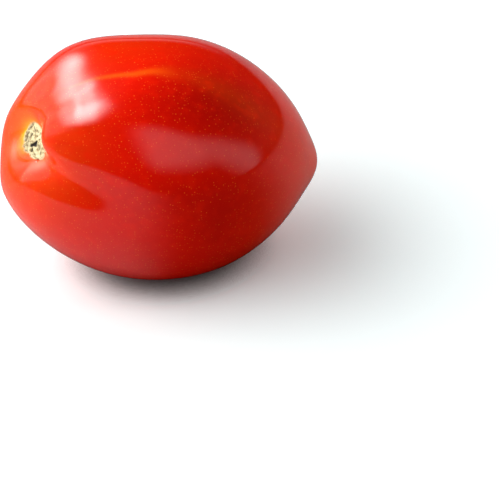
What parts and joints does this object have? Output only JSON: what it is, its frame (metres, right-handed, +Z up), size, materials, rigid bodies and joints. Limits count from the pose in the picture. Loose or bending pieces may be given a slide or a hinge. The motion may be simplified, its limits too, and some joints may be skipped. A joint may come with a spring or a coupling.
{
  "type": "plum tomato",
  "caption": "Ripe red plum tomato, whole, picked without its stalk: an egg-shaped lobed fruit with a corky stem scar in a shallow dimple, lying on its side on a small flat spot.",
  "frame": {"origin": "centre of the small flat spot on the underside that the tomato rests on", "axes": "+Z up, -X towards the stem end, which is raised a little, +X towards the blossom end, -Y towards the broad front lobe"},
  "size_m": [0.0694, 0.0521, 0.0506],
  "materials": {
    "skin": "smooth waxy ripe skin, glossy, with fine golden speckles and a pale corky stem scar"
  },
  "bodies": {
    "root": {"tomato": "skin"}
  },
  "joints": []
}
